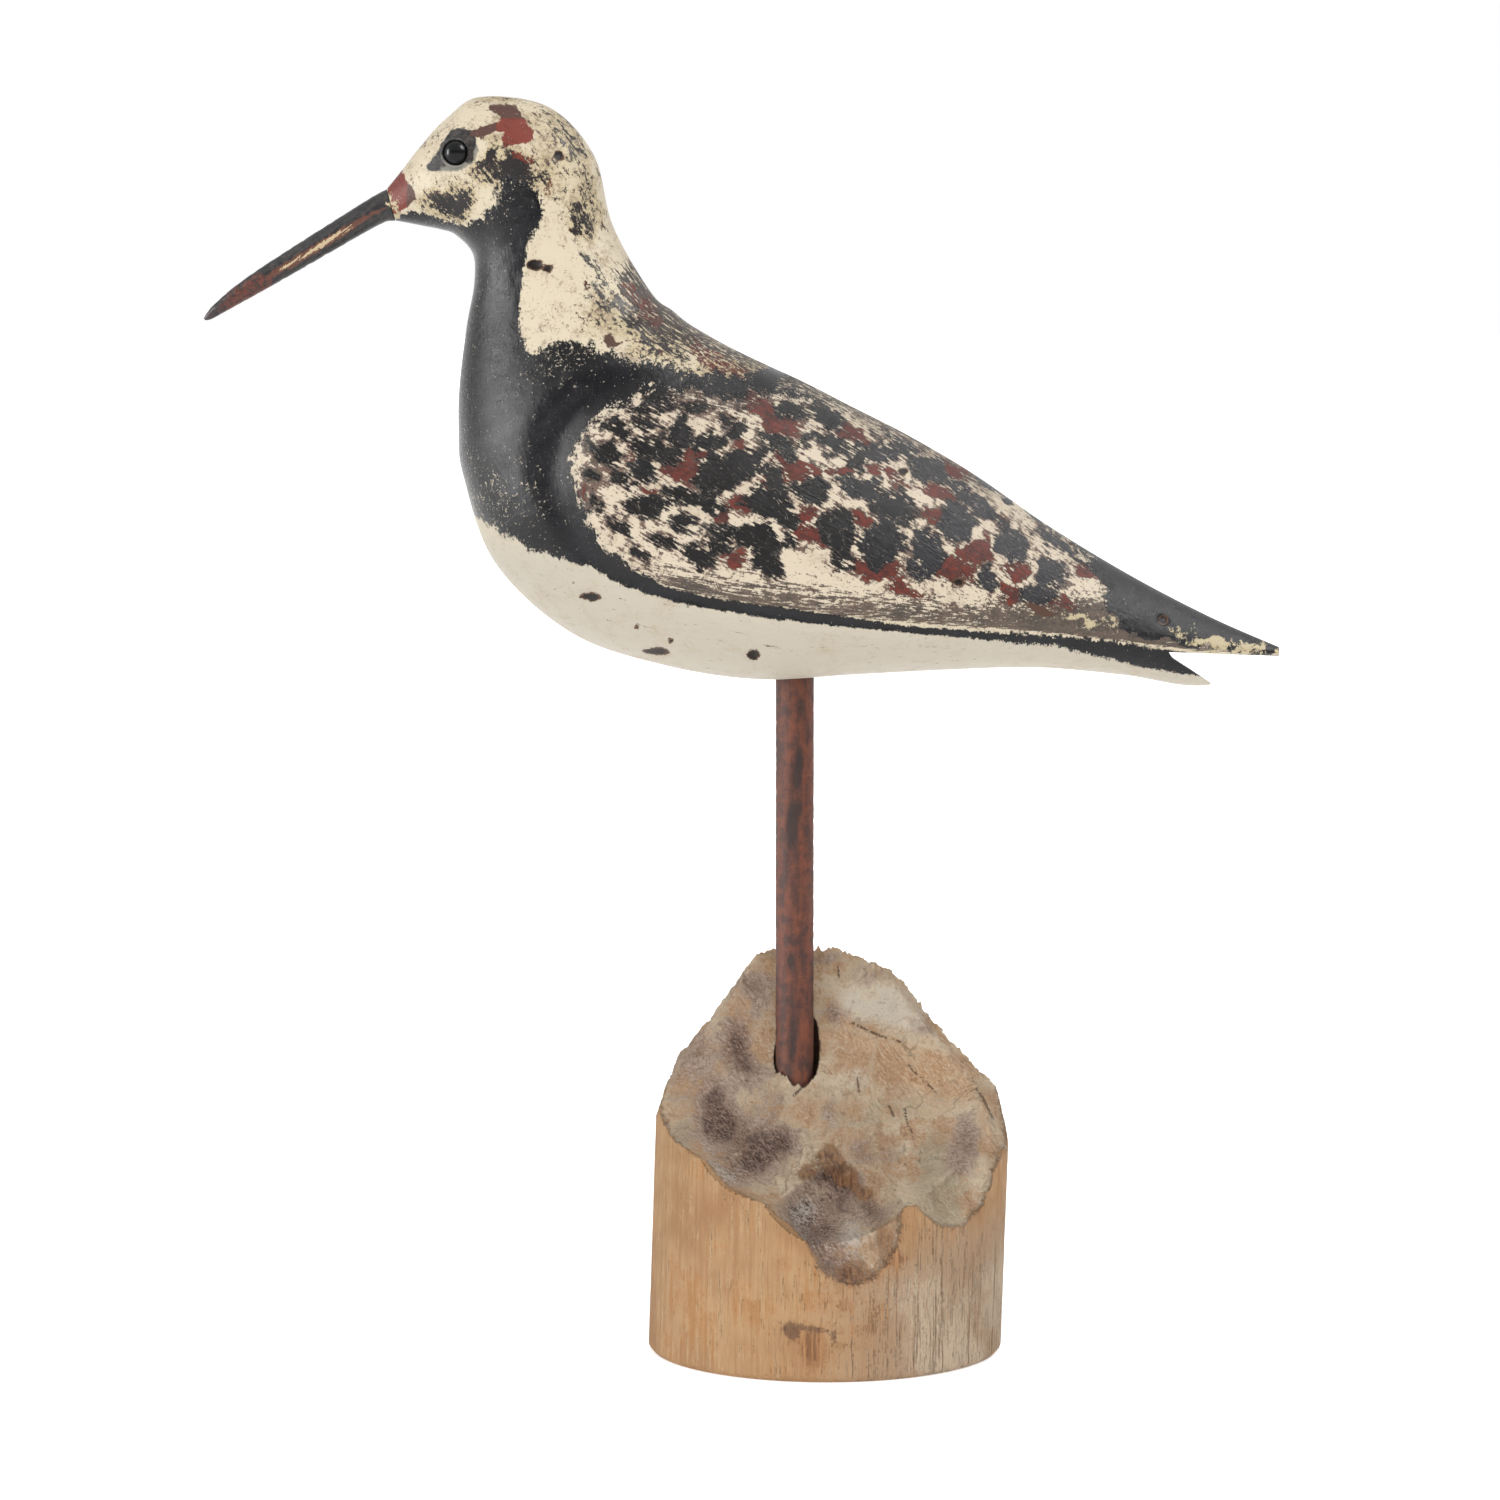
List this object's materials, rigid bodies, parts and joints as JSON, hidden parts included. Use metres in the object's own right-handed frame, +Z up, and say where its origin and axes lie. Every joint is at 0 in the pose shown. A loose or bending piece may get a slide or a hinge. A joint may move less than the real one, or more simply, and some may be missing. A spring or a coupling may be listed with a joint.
{
  "type": "shorebird decoy",
  "caption": "Carved and painted wooden shorebird decoy with a let-in bill and glass eyes, on a steel rod that stands in a gnawed driftwood stub.",
  "frame": {"origin": "middle of the log's flat underside", "axes": "+Z up along the rod, -X the way the bird faces, +Y to the bird's right"},
  "size_m": [0.2674, 0.089, 0.3134],
  "materials": {
    "painted_wood": "worn oil paint, cream and black with red-brown touches",
    "bill_wood": "worn black paint over brown wood",
    "eye_glass": "opaque black glass bead",
    "rusty_steel": "even brown rust",
    "driftwood": "bare, weathered and gnawed wood"
  },
  "bodies": {
    "root": {"carved_bird": "painted_wood", "bill": "bill_wood", "left_eye": "eye_glass", "right_eye": "eye_glass", "stand_rod": "rusty_steel", "driftwood_base": "driftwood"}
  },
  "joints": []
}
